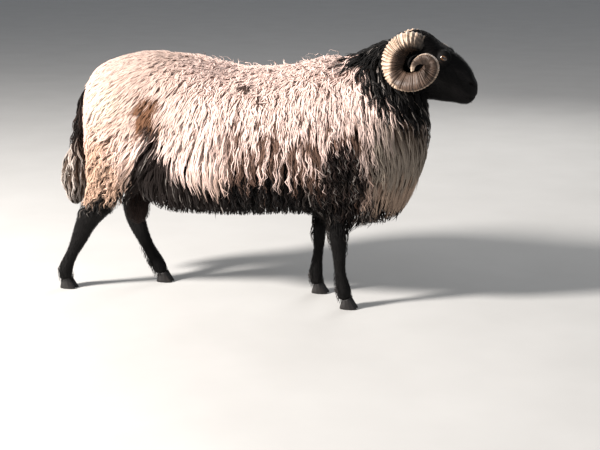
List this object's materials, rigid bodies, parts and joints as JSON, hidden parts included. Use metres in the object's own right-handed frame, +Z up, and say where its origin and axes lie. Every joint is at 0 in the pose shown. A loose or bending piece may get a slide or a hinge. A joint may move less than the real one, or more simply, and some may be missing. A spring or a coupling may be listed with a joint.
{
  "type": "standing horned sheep",
  "caption": "Life-size still model of a horned, black-faced ram in long pale fleece, caught in a slow walk.",
  "frame": {"origin": "on the floor, under the middle of the animal's overall box", "axes": "+X towards the nose, +Y towards the animal's left, +Z up"},
  "size_m": [1.393, 0.458, 0.8825],
  "materials": {
    "fleece": "long wavy cream wool in hanging locks",
    "dark_wool": "brown-black wool",
    "black_hair": "short flat black hair",
    "horn": "ridged pale horn, browner inside the coil",
    "hoof": "worn dark horn",
    "eye": "wet, with a level slit pupil"
  },
  "bodies": {
    "root": {"ear_left": "black_hair", "ear_right": "black_hair", "eye_left": "eye", "eye_right": "eye", "foreleg_left_cannon": "black_hair", "foreleg_left_claw_inner": "hoof", "foreleg_left_claw_outer": "hoof", "foreleg_left_dewclaw_inner": "hoof", "foreleg_left_dewclaw_outer": "hoof", "foreleg_left_forearm": "dark_wool", "foreleg_left_pastern": "black_hair", "foreleg_right_cannon": "black_hair", "foreleg_right_claw_inner": "hoof", "foreleg_right_claw_outer": "hoof", "foreleg_right_dewclaw_inner": "hoof", "foreleg_right_dewclaw_outer": "hoof", "foreleg_right_forearm": "dark_wool", "foreleg_right_pastern": "black_hair", "head": "black_hair", "hindleg_left_cannon": "black_hair", "hindleg_left_claw_inner": "hoof", "hindleg_left_claw_outer": "hoof", "hindleg_left_dewclaw_inner": "hoof", "hindleg_left_dewclaw_outer": "hoof", "hindleg_left_pastern": "black_hair", "hindleg_left_thigh": "fleece", "hindleg_right_cannon": "black_hair", "hindleg_right_claw_inner": "hoof", "hindleg_right_claw_outer": "hoof", "hindleg_right_dewclaw_inner": "hoof", "hindleg_right_dewclaw_outer": "hoof", "hindleg_right_pastern": "black_hair", "hindleg_right_thigh": "fleece", "horn_left": "horn", "horn_right": "horn", "neck": "fleece", "scrotum": "dark_wool", "tail": "dark_wool", "trunk": "fleece"}
  },
  "joints": []
}
